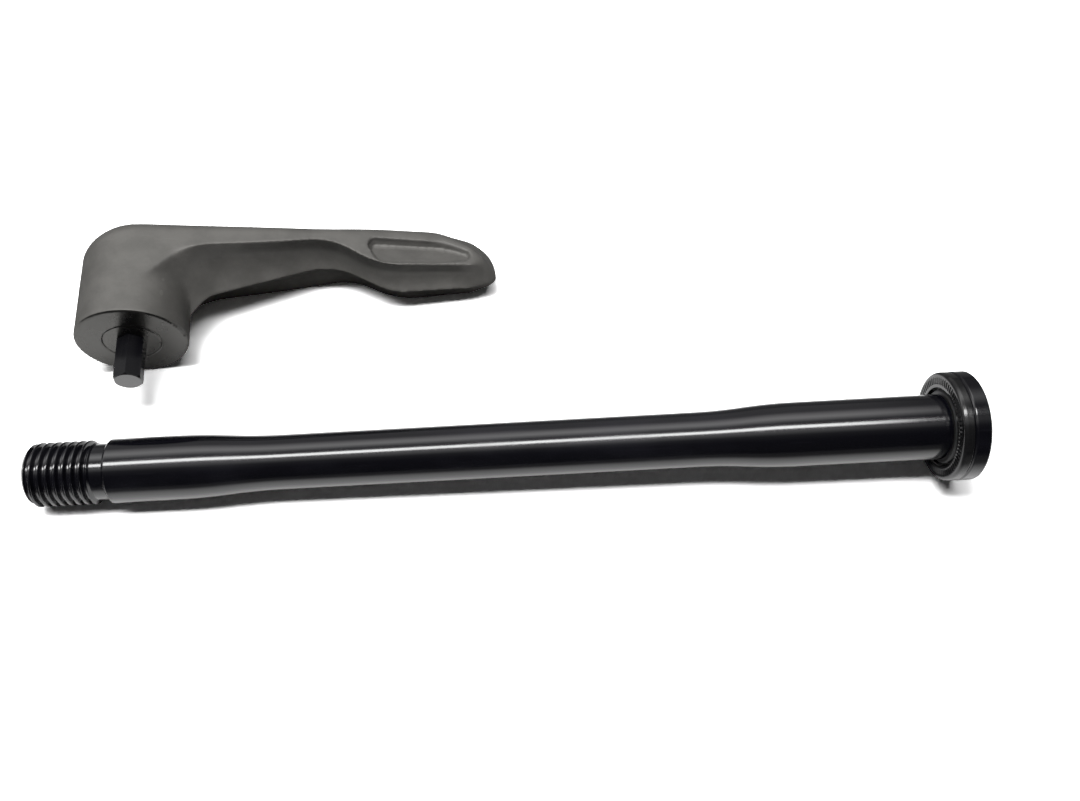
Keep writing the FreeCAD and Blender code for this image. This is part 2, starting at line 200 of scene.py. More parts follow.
# in the looks below a noise is its size in millimetres, detail, roughness and, on some, stretch; limits are
# the values between which a mask goes from 0 to 1
glossBlack = {
    "deep": (0.0022, 0.0022, 0.0036, 1.0),
    "worn": (0.007, 0.007, 0.010, 1.0),
    "bare": (0.10, 0.10, 0.10, 1.0),
    "bareBefore": None,       # millimetres along the piece, before which it is bare metal
    "bareBlur": 0.04,
    "roughness": 0.13,
    "roughnessSpread": 0.10,
    "ior": 1.62,
    "rings": (0.35, 3.0, 0.6, (1.0, 0.02, 0.02)),
    "ringRoughness": 0.3,     # share of the roughness that the rings spread, the rest being the wear's
    "patches": (9.0, 3.0, 0.55, (0.4, 1.0, 1.0)),
    "patchLimits": (0.45, 0.7),
    "patchWear": 0.6,
    "hairs": (0.5, 2.0, 0.5, (0.03, 1.0, 1.0)),
    "hairLimits": (0.62, 0.74),
    "hairWear": 0.4,
    "hairBump": 0.3,
    "bumpDepth": 0.0012,
}


def anodisedBlack(name, axes, origin=(0.0, 0.0, 0.0), look=glossBlack):
    # turned and anodised: faint rings from the lathe, cloudy patches, hairlines along the shaft, and an end
    # that is worn to the metal where the look names one
    material, tree = newMaterial(name)
    coords = turnedCoords(tree, axes, origin)
    rings = noise(tree, coords, *look["rings"])
    patches = noise(tree, coords, *look["patches"]).limited(*look["patchLimits"])
    hairs = noise(tree, coords, *look["hairs"]).limited(*look["hairLimits"])
    wear = patches * look["patchWear"] + hairs * look["hairWear"]
    uneven = wear * (1 - look["ringRoughness"]) + rings * look["ringRoughness"]
    values = {
        "Base Color": wear.blend(look["deep"], look["worn"]),
        "Roughness": look["roughness"] + look["roughnessSpread"] * uneven,
        "IOR": look["ior"],
        "Normal": bump(tree, rings + hairs * look["hairBump"], look["bumpDepth"]),
    }
    if look["bareBefore"] is not None:
        end, blur = look["bareBefore"], look["bareBlur"]
        along = tree.node("ShaderNodeSeparateXYZ", None, {0: coords}, out="X")
        bared = 1 - along.limited((end - blur) * mm, (end + blur) * mm)
        values["Base Color"] = bared.blend(values["Base Color"], look["bare"])
        values["Metallic"] = bared
    surface(tree, values)
    return material


washerLook = {
    "deep": (0.006, 0.006, 0.0065, 1.0),
    "worn": (0.022, 0.022, 0.022, 1.0),
    "roughness": 0.13,
    "roughnessSpread": 0.16,
    "ior": 1.58,
    "grain": (0.22, 3.0, 0.6),
    "grainLeast": 0.4,        # how much of the grain shows in the roughness outside the patches
    "patches": (3.0, 3.0, 0.6),
    "patchLimits": (0.45, 0.75),
    "patchWear": 0.5,
    "edgeLimits": (0.53, 0.62),
    "edgeWear": 0.35,
    "bumpDepth": 0.004,
}


def platedBlack(name, look=washerLook):
    # black plating over steel, a little lighter where it has been handled
    material, tree = newMaterial(name)
    coords = tree.node("ShaderNodeTexCoord", out="Object")
    grain = noise(tree, coords, *look["grain"])
    patches = noise(tree, coords, *look["patches"]).limited(*look["patchLimits"])
    wear = patches * look["patchWear"] + edgeMask(tree, look["edgeLimits"]) * look["edgeWear"]
    surface(tree, {
        "Base Color": wear.blend(look["deep"], look["worn"]),
        "Roughness": look["roughness"] + look["roughnessSpread"] * grain * (look["grainLeast"] + patches),
        "IOR": look["ior"],
        "Normal": bump(tree, grain, look["bumpDepth"]),
    })
    return material


rubberLook = {
    "deep": (0.009, 0.009, 0.0095, 1.0),
    "dusty": (0.028, 0.028, 0.027, 1.0),
    "roughness": 0.42,
    "roughnessSpread": 0.25,
    "ior": 1.5,
    "pores": (0.12, 4.0, 0.65),
    "dust": (1.6, 3.0, 0.6),
    "dustLimits": (0.5, 0.8),
    "bumpDepth": 0.008,
}


def ringRubber(name, look=rubberLook):
    # moulded rubber: matt, with a little dust in the pores
    material, tree = newMaterial(name)
    coords = tree.node("ShaderNodeTexCoord", out="Object")
    pores = noise(tree, coords, *look["pores"])
    dust = noise(tree, coords, *look["dust"]).limited(*look["dustLimits"])
    surface(tree, {
        "Base Color": dust.blend(look["deep"], look["dusty"]),
        "Roughness": look["roughness"] + look["roughnessSpread"] * pores,
        "IOR": look["ior"],
        "Normal": bump(tree, pores, look["bumpDepth"]),
    })
    return material


leverLook = {
    "dark": (0.084, 0.082, 0.077, 1.0),
    "light": (0.128, 0.124, 0.117, 1.0),
    "roughness": 0.38,
    "roughnessSpread": 0.14,
    "specular": 0.3,
    "metallic": 0.28,
    "face": (0.060, 0.059, 0.056, 1.0),
    "faceLimits": (0.12, 0.30),   # millimetres behind the hub's face, over which the facing cut ends
    "faceShare": 0.8,             # of its colour over the forging's, and of the grain that it takes away
    "faceRoughness": 0.24,
    "faceSpread": 0.08,
    "faceMetallic": 0.9,
    "grain": (0.16, 3.0, 0.6),
    "grainTone": 0.25,
    "mottle": (5.5, 4.0, 0.6),
    "mottleLimits": (0.3, 0.7),
    "mottleTone": 0.55,
    "mottleBump": 0.15,
    "rubs": (0.7, 2.0, 0.5, (0.08, 1.0, 1.0)),
    "rubLimits": (0.64, 0.78),
    "rubTone": 0.12,
    "rubPolish": 0.06,
    # sharp edges lighter: partly edge wear, partly a painted highlight on the ridge
    "edgeLimits": (0.525, 0.59),
    "edgeWearAndHighlight": 0.45,
    "bumpDepth": 0.008,
}


def satinGrey(name, axes, origin, look=leverLook):
    # blasted and anodised forging: fine grain, soft mottling, thin rub marks along the arm, and sharp edges
    # lighter, partly edge wear and partly a painted highlight along the ridge; the hub's face is turned
    # smooth, so it is glossier
    material, tree = newMaterial(name)
    coords = turnedCoords(tree, axes, origin)
    behind = tree.node("ShaderNodeSeparateXYZ", None, {0: coords}, out="Y")
    faced = 1 - behind.limited(*(limit * mm for limit in look["faceLimits"]))
    smooth = faced * look["faceShare"]
    grain = noise(tree, coords, *look["grain"])
    mottle = noise(tree, coords, *look["mottle"])
    rubs = noise(tree, coords, *look["rubs"]).limited(*look["rubLimits"])
    # the edge term paints a highlight along the ridge, besides the edge wear
    tone = (mottle.limited(*look["mottleLimits"]) * look["mottleTone"] + grain * look["grainTone"]
            + rubs * look["rubTone"] + edgeMask(tree, look["edgeLimits"]) * look["edgeWearAndHighlight"])
    rough = look["roughness"] + look["roughnessSpread"] * mottle - look["rubPolish"] * rubs
    faceRough = look["faceRoughness"] + look["faceSpread"] * mottle
    surface(tree, {
        "Base Color": smooth.blend(tone.blend(look["dark"], look["light"]), look["face"]),
        "Roughness": rough + faced * (faceRough - rough),
        "Metallic": look["metallic"] + faced * (look["faceMetallic"] - look["metallic"]),
        "Specular IOR Level": look["specular"],
        "Normal": bump(tree, (grain + mottle * look["mottleBump"]) * (1 - smooth), look["bumpDepth"]),
    })
    return material


def addObject(name, mesh):
    made = bpy.data.objects.new(name, mesh)
    bpy.context.scene.collection.objects.link(made)
    return made


def outwardVolume(mesh):
    # signed volume: positive when the faces point outwards
    work = bmesh.new()
    work.from_mesh(mesh)
    volume = work.calc_volume(signed=True)
    work.free()
    return volume


def tally(piece):
    return f"{len(piece.data.polygons)} faces, volume {outwardVolume(piece.data) / mm ** 3:.0f} mm3"


axleShape = {
    "angles": 240,            # a multiple of six, so the socket's corners lie on the grid
    "threadStart": -167.6,
    "threadEnd": -155.2,
    "threadRadius": 5.95,
    "threadChamfer": 1.0,
    "tipRadius": 0.4,         # of the first ring, inside which the end is a fan
    "tipRings": 4,            # of the rounded end that the groove cuts too
    "pitch": 1.5,
    "threadDepth": 0.92,
    "crestShare": 0.20,       # of the pitch
    "rootShare": 0.22,
    "flankCurve": 0.35,       # share of a smooth step in the groove's flanks, which are straight otherwise
    "stationsPerPitch": 20,
    "runout": 0.9,
    "runoutSlope": 1.3,
    "neckRadius": 5.25,
    "neckGap": 0.01,          # from the thread's last station to the neck's first
    "journalStart": -152.9,
    "journalChamfer": 0.5,
    "journalRadius": 6.0,
    "waistStart": -136.0,
    "taperStart": -125.6,
    "taperEnd": -40.6,
    "headStart": -31.0,
    "waistRadius": 5.125,
    "spigotRadius": 5.8,
    "flangeFace": 2.05,
    "flangeBack": 5.05,
    "flangeRadius": 10.0,
    "flangeEdge": 0.35,
    "backRadius": 6.0,        # where the flange's back goes over to the socket's rings
    "socketFlats": 5.06,
    "socketDepth": 9.5,
    "socketChamfer": 0.5,
    "socketSteps": 6,         # from the round mouth to the hexagon
    "mouthShare": 0.6,        # of the chamfer, by which the mouth is wider than the hexagon's corners
    "mouthRings": (0.25, 0.1),    # outside the mouth, so that the back stays flat
    "mouthDrop": 0.03,
    "floorRings": (0.05, 0.15),   # inside the walls, so that the floor stays flat
    "floorMiddle": 0.3,       # the last ring's share of the hexagon
    "edgeRounding": 0.12,
    "taperRounding": 7.0,
}


def roundedProfile(corners, arcSteps=5, guard=0.08, most=0.45):
    # corners (s, r, rounding) to points: each corner becomes an arc tangent to both of its runs, given as a
    # parabola's three control points and using most of the shorter run at most, with one more point a little
    # before and after it to keep the runs straight
    points = [np.array(corners[0][:2], float)]
    for before, corner, after in zip(corners, corners[1:], corners[2:]):
        here = np.array(corner[:2], float)
        back, ahead = np.array(before[:2]) - here, np.array(after[:2]) - here
        reach = min(corner[2], most * np.linalg.norm(back), most * np.linalg.norm(ahead))
        start, end = here + reach * unit(back), here + reach * unit(ahead)
        share = np.linspace(0, 1, arcSteps)[:, None]
        arc = (1 - share) ** 2 * start + 2 * share * (1 - share) * here + share ** 2 * end
        points += [start + guard * reach * unit(back), *arc, end + guard * reach * unit(ahead)]
    points.append(np.array(corners[-1][:2], float))
    return np.array(points)


def hexRadius(theta, flats):
    # distance from the centre to a hexagon's side, with two sides facing up and down
    sixth = math.pi / 3
    return flats / 2 / np.cos((theta + sixth / 2) % sixth - sixth / 2)


def axleSurface(a=axleShape):
    # one closed surface of revolution r(s, theta), from the middle of the threaded end round the outside to
    # the middle of the socket's floor; the thread takes a groove from r along a right-hand helix, and the
    # socket's stations use the hexagon's radius instead of a circle's
    theta = np.arange(a["angles"]) * 2 * math.pi / a["angles"]
    e = a["edgeRounding"]
    tip = roundedProfile([
        (a["threadStart"], a["tipRadius"], 0.0),
        (a["threadStart"], a["threadRadius"] - a["threadChamfer"], 2 * e),
        (a["threadStart"] + a["threadChamfer"], a["threadRadius"], 0.0),
    ])[:-1]
    count = int(round((a["threadEnd"] - a["threadStart"]) / a["pitch"] * a["stationsPerPitch"]))
    s = np.linspace(tip[-1, 0], a["threadEnd"], count)
    chamferLine = a["threadRadius"] - a["threadChamfer"] + (s - a["threadStart"])
    runoutLine = a["neckRadius"] + a["runoutSlope"] * (a["threadEnd"] - s)
    thread = np.column_stack([s, np.minimum(np.minimum(chamferLine, runoutLine), a["threadRadius"])])
    shaft = roundedProfile([
        (a["threadEnd"] + a["neckGap"], a["neckRadius"], 0.0),
        (a["journalStart"], a["neckRadius"], e),
        (a["journalStart"], a["journalRadius"] - a["journalChamfer"], e),
        (a["journalStart"] + a["journalChamfer"], a["journalRadius"], e),
        (a["waistStart"], a["journalRadius"], a["taperRounding"]),
        (a["taperStart"], a["waistRadius"], a["taperRounding"]),
        (a["taperEnd"], a["waistRadius"], a["taperRounding"]),
        (a["headStart"], a["journalRadius"], a["taperRounding"]),
        (0.0, a["journalRadius"], e),
        (0.0, a["spigotRadius"], e),
        (a["flangeFace"], a["spigotRadius"], e),
        (a["flangeFace"], a["flangeRadius"] - a["flangeEdge"], e),
        (a["flangeFace"] + a["flangeEdge"], a["flangeRadius"], e),
        (a["flangeBack"] - a["flangeEdge"], a["flangeRadius"], e),
        (a["flangeBack"], a["flangeRadius"] - a["flangeEdge"], e),
        (a["flangeBack"], a["backRadius"], 0.0),
    ], arcSteps=7)
    outside = np.vstack([tip, thread, shaft])
    radius = np.repeat(outside[:, 1:], a["angles"], axis=1)
    along = np.repeat(outside[:, :1], a["angles"], axis=1)

    # the groove: 0 on the crest, 1 at the root, sloping smoothly between
    turnPhase = (along / a["pitch"] - theta / (2 * math.pi)) % 1.0
    fromCrest = np.abs(turnPhase - 0.5) * 2
    slope = np.clip((fromCrest - a["crestShare"]) / (1 - a["crestShare"] - a["rootShare"]), 0, 1)
    groove = smoothStep(slope, 0, 1) * a["flankCurve"] + slope * (1 - a["flankCurve"])
    runoutFade = np.clip((a["threadEnd"] - along) / a["runout"], 0, 1)
    floorRadius = a["neckRadius"] + (a["threadRadius"] - a["threadDepth"] - a["neckRadius"]) * runoutFade
    threadRadius = a["threadRadius"] - groove * (a["threadRadius"] - floorRadius)
    station = np.arange(len(outside))[:, None]
    inThread = (station >= len(tip) - a["tipRings"]) & (station < len(tip) + len(thread))
    radius = np.where(inThread, np.minimum(radius, threadRadius), radius)

    # the socket's rings (r, s): a round mouth that closes to the hexagon, its walls, and a flat floor
    hexagon = hexRadius(theta, a["socketFlats"])
    mouth = a["socketFlats"] / 2 / math.cos(math.pi / 6) + a["socketChamfer"] * a["mouthShare"]
    back, floor = a["flangeBack"], a["flangeBack"] - a["socketDepth"]
    lip = back - a["mouthDrop"]
    near, far = a["floorRings"]
    rings = [(mouth + wider, back) for wider in a["mouthRings"]]
    rings += [(mouth + (hexagon - mouth) * share, lip - a["socketChamfer"] * share)
              for share in np.linspace(0, 1, a["socketSteps"] + 1)]
    rings += [(hexagon, floor + near), (hexagon - near, floor), (hexagon - far, floor),
              (hexagon * a["floorMiddle"], floor)]
    level = np.ones(len(theta))
    socketRadius, socketAlong = [r * level for r, s in rings], [s * level for r, s in rings]
    return np.vstack([along, socketAlong]), np.vstack([radius, socketRadius]), theta


def closedRevolution(name, along, radius, theta, bored=False):
    # rings of points at (s, r sin, r cos) in the axle's frame, joined into quads; a bored one closes on its
    # first ring, and any other has a fan at each end
    local = np.stack([along, radius * np.sin(theta), radius * np.cos(theta)], axis=2)
    rings, steps = along.shape
    points = local.reshape(-1, 3)
    grid = np.arange(rings * steps).reshape(rings, steps)
    if bored:
        grid = np.vstack([grid, grid[:1]])
    beside = np.roll(grid, -1, axis=1)
    faces = np.stack([grid[:-1], grid[1:], beside[1:], beside[:-1]], axis=2).reshape(-1, 4).tolist()
    if not bored:
        points = np.vstack([points, [[along[0, 0], 0, 0], [along[-1, 0], 0, 0]]])
        faces += np.stack([np.full(steps, rings * steps), grid[0], beside[0]], axis=1).tolist()
        faces += np.stack([np.full(steps, rings * steps + 1), beside[-1], grid[-1]], axis=1).tolist()
    mesh = bpy.data.meshes.new(name)
    mesh.from_pydata((points @ axleFrame * mm).tolist(), [], faces)
    mesh.shade_smooth()
    mesh.update()
    if outwardVolume(mesh) < 0:
        mesh.flip_normals()
    return addObject(name, mesh)


axle = closedRevolution("axle_shaft", *axleSurface())
axle.data.materials.append(anodisedBlack("axle gloss black", axleFrame))
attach(axle, rootBody)
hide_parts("axle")
print("axle:", tally(axle))


washerShape = {
    "angles": 720,            # ten to a tooth
    "rimRadius": 10.0,
    "thickness": 2.0,
    "rimRounding": 0.75,
    "backChamfer": 0.2,
    "boreRadius": 5.85,
    "recessRadius": 7.25,
    "recessDepth": 1.2,
    "edgeRounding": 0.10,
    "faceStart": 7.5,         # radii between which the flat face has its rings
    "faceEnd": 9.22,
    "faceRings": 24,
    "teeth": 72,
    "toothDepth": 0.15,
    "toothInner": 7.75,
    "toothOuter": 9.2,
    "toothEnd": 0.25,         # over which a groove runs out at both of its ends
    "grooveShape": 0.7,       # power of the cosine: below 1 the grooves are wide and the crests narrow
    "faceBand": 0.02,         # how far below the face a ring still counts as on it
}


def washerSurface(k=washerShape):
    # a closed ring r(s), its face cut by shallow grooves: the depth follows a cosine round the face, drawn
    # towards its crests, and runs out at both ends of the groove
    theta = np.arange(k["angles"]) * 2 * math.pi / k["angles"]
    e = k["edgeRounding"]
    outline = roundedProfile([
        (0.0, k["faceStart"], 0.0),
        (0.0, k["rimRadius"], k["rimRounding"]),
        (k["thickness"] - k["backChamfer"], k["rimRadius"], e),
        (k["thickness"], k["rimRadius"] - k["backChamfer"], e),
        (k["thickness"], k["boreRadius"], e),
        (k["recessDepth"], k["boreRadius"], e),
        (k["recessDepth"], k["recessRadius"], e),
        (0.0, k["recessRadius"], e),
        (0.0, k["faceStart"], 0.0),
    ], arcSteps=8)[1:-1]
    face = np.linspace(k["faceStart"], k["faceEnd"], k["faceRings"])
    outline = np.vstack([np.column_stack([np.zeros(len(face)), face]), outline])
    along = np.repeat(outline[:, :1], k["angles"], axis=1)
    radius = np.repeat(outline[:, 1:], k["angles"], axis=1)
    wave = (0.5 - 0.5 * np.cos(theta * k["teeth"])) ** k["grooveShape"]
    inner, outer, end = k["toothInner"], k["toothOuter"], k["toothEnd"]
    zone = window(radius, (inner, inner + end), (outer - end, outer)) * (along < k["faceBand"])
    return along + k["toothDepth"] * wave * zone, radius, theta


washer = closedRevolution("washer_ring", *washerSurface(), bored=True)
washer.data.materials.append(platedBlack("washer black plating"))
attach(washer, "washer")
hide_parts("serrated_washer")
print("washer:", tally(washer))


# lengths in millimetres in the lever's frame; a span is a rise, or a rise and the fall that ends it
leverShape = {
    "voxel": 0.265,
    "smoothing": 7,           # passes over the whole skin
    "rimSmoothing": 3,        # after its back has been rounded
    "wallSmoothing": 58,      # over the hollow walls
    "blendSmoothing": 50,     # where the arm runs into the hub, and round the nose
    "tipSmoothing": 132,      # on the tip alone, which is then drawn out again by as much as that takes off
    "lastSmoothing": 3,
    "hubRadius": 10.65,
    "depth": 22.2,
    "backRounding": 3.2,      # at the hub
    "armRounding": 2.6,       # along the arm
    "armSpan": (4.0, 34.0),
    "cornerRounding": 5.3,    # at the hub's outer corner
    "cornerSpan": (-4.0, 10.0),                   # to the left, away from the arm
    "wallHeight": ((0.06, 0.2), (0.78, 0.92)),    # share of the half thickness
    "wallSpan": ((5.0, 11.0), (70.0, 73.0)),
    "facing": (0.1, 0.4),     # how far a wall's normal points to the front
    "facingTip": (0.3, 0.6),  # or to the tip
    "hollow": 2.4,            # by how much the front walls lean, all of it in the lower part of their height
    "hollowHeight": 0.62,
    "hollowSpan": ((9.0, 18.0), (62.0, 70.0)),
    "backLift": 0.45,         # how much fuller the paddle's back is
    "liftSpan": (34.0, 48.0),
    "backSpan": (17.8, 20.5),
    "noseEase": (0.30, 62.0, 5.0),                # the back's turn there, its place and half its length
    "ridgeSpan": ((-3.0, 1.0), (9.0, 13.0)),      # where the arm's ridge dies out: along the arm,
    "ridgeHeight": (4.0, 6.0),                    # up the hub's side
    "ridgeDepth": ((3.0, 6.0), (14.0, 18.0)),     # and from its face to its back
    "recessBack": (60.4, 17.7, -0.317),           # a point on the thumb recess's rear side, and its slope
    "noseSpan": (50.0, 57.0),
    "noseGap": (0.5, 1.4),                        # behind the recess
    "tipEnd": (69.0, 69.9),
    "tipSpan": (66.5, 69.5),
    "tipReach": 0.7,
    "tipReachSpan": (58.0, 70.0),
    "faceEdge": 0.35,         # rounding of the hub's face
    "faceBand": 2.0,          # how far from its face the hub is trued
    "flatBand": 0.4,          # how near its face a point is put on it
    "hubBand": (0.03, 0.2),   # how far off the cylinder a point is left as it is
    "boreRadius": 5.5,
    "boreEdge": 0.10,
    "boreBand": 0.4,
}

steadyPass = (0.5, -0.53)     # towards the neighbours' mean, then a little further back, so nothing shrinks
plainPass = (0.5,)


def remeshed(node, voxel):
    # an even skin over a solid: its triangles are joined first, then remeshed in small cells
    mesh = frame["nodes"][node].data.copy()
    work = bmesh.new()
    work.from_mesh(mesh)
    bmesh.ops.remove_doubles(work, verts=work.verts, dist=weldDistance * mm)
    work.to_mesh(mesh)
    work.free()
    source = addObject(node + "_source", mesh)
    cells = source.modifiers.new("cells", "REMESH")
    cells.mode, cells.voxel_size = "VOXEL", voxel * mm
    skin = bpy.data.meshes.new_from_object(source.evaluated_get(bpy.context.evaluated_depsgraph_get()))
    bpy.data.objects.remove(source)
    bpy.data.meshes.remove(mesh)
    return skin


def readVectors(mesh, name):
    # each point's place, "co", or its normal
    vectors = np.empty(len(mesh.vertices) * 3, np.float32)
    mesh.vertices.foreach_get(name, vectors)
    return vectors.reshape(-1, 3)


def writePoints(mesh, points):
    mesh.vertices.foreach_set("co", points.astype(np.float32).ravel())
    mesh.update()


def readEdges(mesh):
    edges = np.empty(len(mesh.edges) * 2, np.int32)
    mesh.edges.foreach_get("vertices", edges)
    return edges.reshape(-1, 2)


def relaxed(points, edges, steps, share=1.0, amounts=steadyPass):
    # each point moves towards the mean of its neighbours by each amount in turn; share says how much of the
    # move each point makes
    degree = np.bincount(edges.ravel(), minlength=len(points))[:, None]
    for step in range(steps):
        for amount in amounts:
            total = np.zeros_like(points)
            for axis in range(3):
                total[:, axis] = (np.bincount(edges[:, 0], points[edges[:, 1], axis], len(points))
                                  + np.bincount(edges[:, 1], points[edges[:, 0], axis], len(points)))
            points = points + amount * share * (total / degree - points)
    return points


def roundedBack(points, k=leverShape):
    # the rim between the lever's sides and its flat back: where a point lies within the rounding of both, it
    # is drawn onto the quarter circle; the side is the hub's cylinder at the left and the leaning flat at the
    # right
    u, v, w = points.T
    lean, upright = math.sin(sideAngle), math.cos(sideAngle)
    leftPart, fromAxis = u < k["hubRadius"] * lean, np.hypot(u, w)
    onHub = k["hubRadius"] - fromAxis
    onFlat = k["hubRadius"] - (np.abs(w) * upright + u * lean)
    fromSide = np.where(leftPart, onHub, onFlat)
    fromBack = k["depth"] - v
    toArm, toCorner = smoothStep(u, *k["armSpan"]), smoothStep(-u, *k["cornerSpan"])
    rounding = (k["backRounding"] + (k["armRounding"] - k["backRounding"]) * toArm
                + (k["cornerRounding"] - k["backRounding"]) * toCorner)
    a, b = rounding - fromSide, rounding - fromBack
    over = np.where((a > 0) & (b > 0), np.hypot(a, b) - rounding, 0.0).clip(0)
    length = np.hypot(a, b) + tiny
    inU = np.where(leftPart, -u / (fromAxis + tiny), -lean)
    inW = np.where(leftPart, -w / (fromAxis + tiny), -np.sign(w) * upright)
    moved = points.copy()
    moved[:, 0] += over * a / length * inU
    moved[:, 2] += over * a / length * inW
    moved[:, 1] -= over * b / length
    return moved


def riseShare(points, k=leverShape):
    # height above or below the parting line, as a share of the half thickness there
    u, v, w = points.T
    halfThick = (k["hubRadius"] - u * math.sin(sideAngle)) / math.cos(sideAngle)
    return np.abs(w) / np.maximum(halfThick, 1.0)


def wallShare(points, normals, k=leverShape):
    # 1 on the front walls between the parting line and the ridge, 0 on both lines and everywhere else
    between = window(riseShare(points), *k["wallHeight"])
    along = window(points[:, 0], *k["wallSpan"])
    facing = np.maximum(smoothStep(-normals[:, 1], *k["facing"]), smoothStep(normals[:, 0], *k["facingTip"]))
    return (between * along * facing)[:, None]


def dished(points, normals, k=leverShape):
    # the front walls: with f the height from the parting line to the ridge, their lean follows a parabola
    # that stands upright from the hollow's height on, in place of the straight line f; the paddle's back is
    # lifted, and where the nose begins its corner gives way to the parabola that touches both of its sides
    u, v, w = points.T
    f = np.clip(riseShare(points), 0, 1)
    cove = 1 - (1 - np.clip(f / k["hollowHeight"], 0, 1)) ** 2
    turn, place, reach = k["noseEase"]
    eased = turn / (4 * reach) * np.clip(reach - np.abs(u - place), 0, None) ** 2
    lifted = k["backLift"] * smoothStep(u, *k["liftSpan"])
    moved = points.copy()
    moved[:, 1] += (k["hollow"] * (cove - f) * window(u, *k["hollowSpan"])
                    * smoothStep(-normals[:, 1], *k["facing"]))
    moved[:, 1] += (lifted - eased) * smoothStep(v, *k["backSpan"])
    return moved


def blendShare(points, k=leverShape):
    # 1 where the arm's ridge dies out on the hub, and on the nose and tip outside the thumb recess
    u, v, w = points.T
    ridgeEnd = (window(u, *k["ridgeSpan"]) * smoothStep(np.abs(w), *k["ridgeHeight"])
                * window(v, *k["ridgeDepth"]))
    placeU, placeV, slope = k["recessBack"]
    pastRecess = v - (placeV + slope * (u - placeU))
    nose = smoothStep(u, *k["noseSpan"]) * smoothStep(pastRecess, *k["noseGap"])
    return np.maximum(np.maximum(ridgeEnd, nose), smoothStep(u, *k["tipEnd"]))[:, None]


def truedHub(points, k=leverShape):
    # near the hub's face its skin is put back on the turned form: the cylinder, the face, the quarter circle
    # between them, and the bore with its broken edge
    u, v, w = points.T
    r = np.hypot(u, w) + tiny
    radius, edge, bore, lip = k["hubRadius"], k["faceEdge"], k["boreRadius"], k["boreEdge"]
    near = (v < k["faceBand"]) & (r > bore - k["boreBand"])
    onHub = near * (1 - smoothStep(r - radius, *k["hubBand"]))
    outer, inner = r - (radius - edge), (bore + lip) - r
    newR, newV = r.copy(), v.copy()
    for past, start, size, sign in ((outer, radius - edge, edge, 1), (inner, bore + lip, lip, -1)):
        deep = size - v
        corner = (past > 0) & (deep > 0)
        reach = np.hypot(past, deep) + tiny
        newR = np.where(corner, start + sign * past * size / reach, newR)
        newV = np.where(corner, size - deep * size / reach, newV)
        newR = np.where((past > 0) & (deep <= 0), start + sign * size, newR)
    newV = np.where((outer <= 0) & (inner <= 0) & (v < k["flatBand"]), 0.0, newV)
    newR, newV = r + (newR - r) * onHub, v + (newV - v) * onHub
    return np.column_stack([u * newR / r, newV, w * newR / r])


def forgedLever(k=leverShape):
    # the solid's skin, smoothed and drawn onto the forged form in the lever's frame, then set back in place
    mesh = remeshed("lever", k["voxel"])
    local = (readVectors(mesh, "co").astype(float) / mm - leverOrigin) @ leverFrame.T
    edges = readEdges(mesh)
    local = relaxed(local, edges, k["smoothing"])
    local = relaxed(roundedBack(local), edges, k["rimSmoothing"])
    writePoints(mesh, local)
    normals = readVectors(mesh, "normal")
    local = relaxed(local, edges, k["wallSmoothing"], wallShare(local, normals), plainPass)
    local = dished(local, normals)
    local = relaxed(local, edges, k["blendSmoothing"], blendShare(local), plainPass)
    local = relaxed(local, edges, k["tipSmoothing"], smoothStep(local[:, :1], *k["tipSpan"]), plainPass)
    local[:, 0] += k["tipReach"] * smoothStep(local[:, 0], *k["tipReachSpan"])
    local = truedHub(relaxed(local, edges, k["lastSmoothing"]))
    points = (local @ leverFrame + leverOrigin) * mm
    points[:, 2] = np.maximum(points[:, 2], floorLevel)
    writePoints(mesh, points)
    mesh.materials.clear()
    mesh.shade_smooth()
    return addObject("lever_forging", mesh)


lever = forgedLever()
lever.data.materials.append(satinGrey("lever satin grey", leverFrame, leverOrigin * mm))
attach(lever, rootBody)
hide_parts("lever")
print("lever:", tally(lever))


def softEdges(node, width, segments, angle):
    # a CAD node's loose triangles are welded, then its edges broken
    weld = frame["nodes"][node].modifiers.new("weld", "WELD")
    weld.merge_threshold = weldDistance * mm
    bevel = frame["nodes"][node].modifiers.new("edges", "BEVEL")
    bevel.width, bevel.segments = width * mm, segments
    bevel.limit_method, bevel.angle_limit = "ANGLE", math.radians(angle)
    bevel.harden_normals = True


def dress(node, material):
    shown = frame["nodes"][node]
    if not shown.material_slots:
        shown.data.materials.append(material)
    for place in shown.material_slots:
        place.material = material


# the insert takes the lever's look, with its painted edge highlight
insertLook = {**leverLook, "mottle": (2.5, 4.0, 0.6)}

pinLook = {
    **glossBlack,
    "deep": (0.003, 0.003, 0.004, 1.0),
    "worn": (0.009, 0.009, 0.010, 1.0),
    "bareBefore": -8.8,
    "roughness": 0.14,
    "ior": 1.33,
    "rings": (0.8, 3.0, 0.6, (1.0, 0.02, 0.02)),
}
pinEdges = {"width": 0.12, "segments": 2, "angle": 30.0}
pinFrame = np.array([leverV, leverU, -leverW])

dress("retaining_ring", ringRubber("ring rubber"))
dress("pin_insert", satinGrey("insert satin grey", leverFrame, leverOrigin * mm, insertLook))
dress("hex_pin", anodisedBlack("pin gloss black", pinFrame, leverOrigin * mm, pinLook))
softEdges("hex_pin", **pinEdges)
print("dressed: ring, insert and pin")


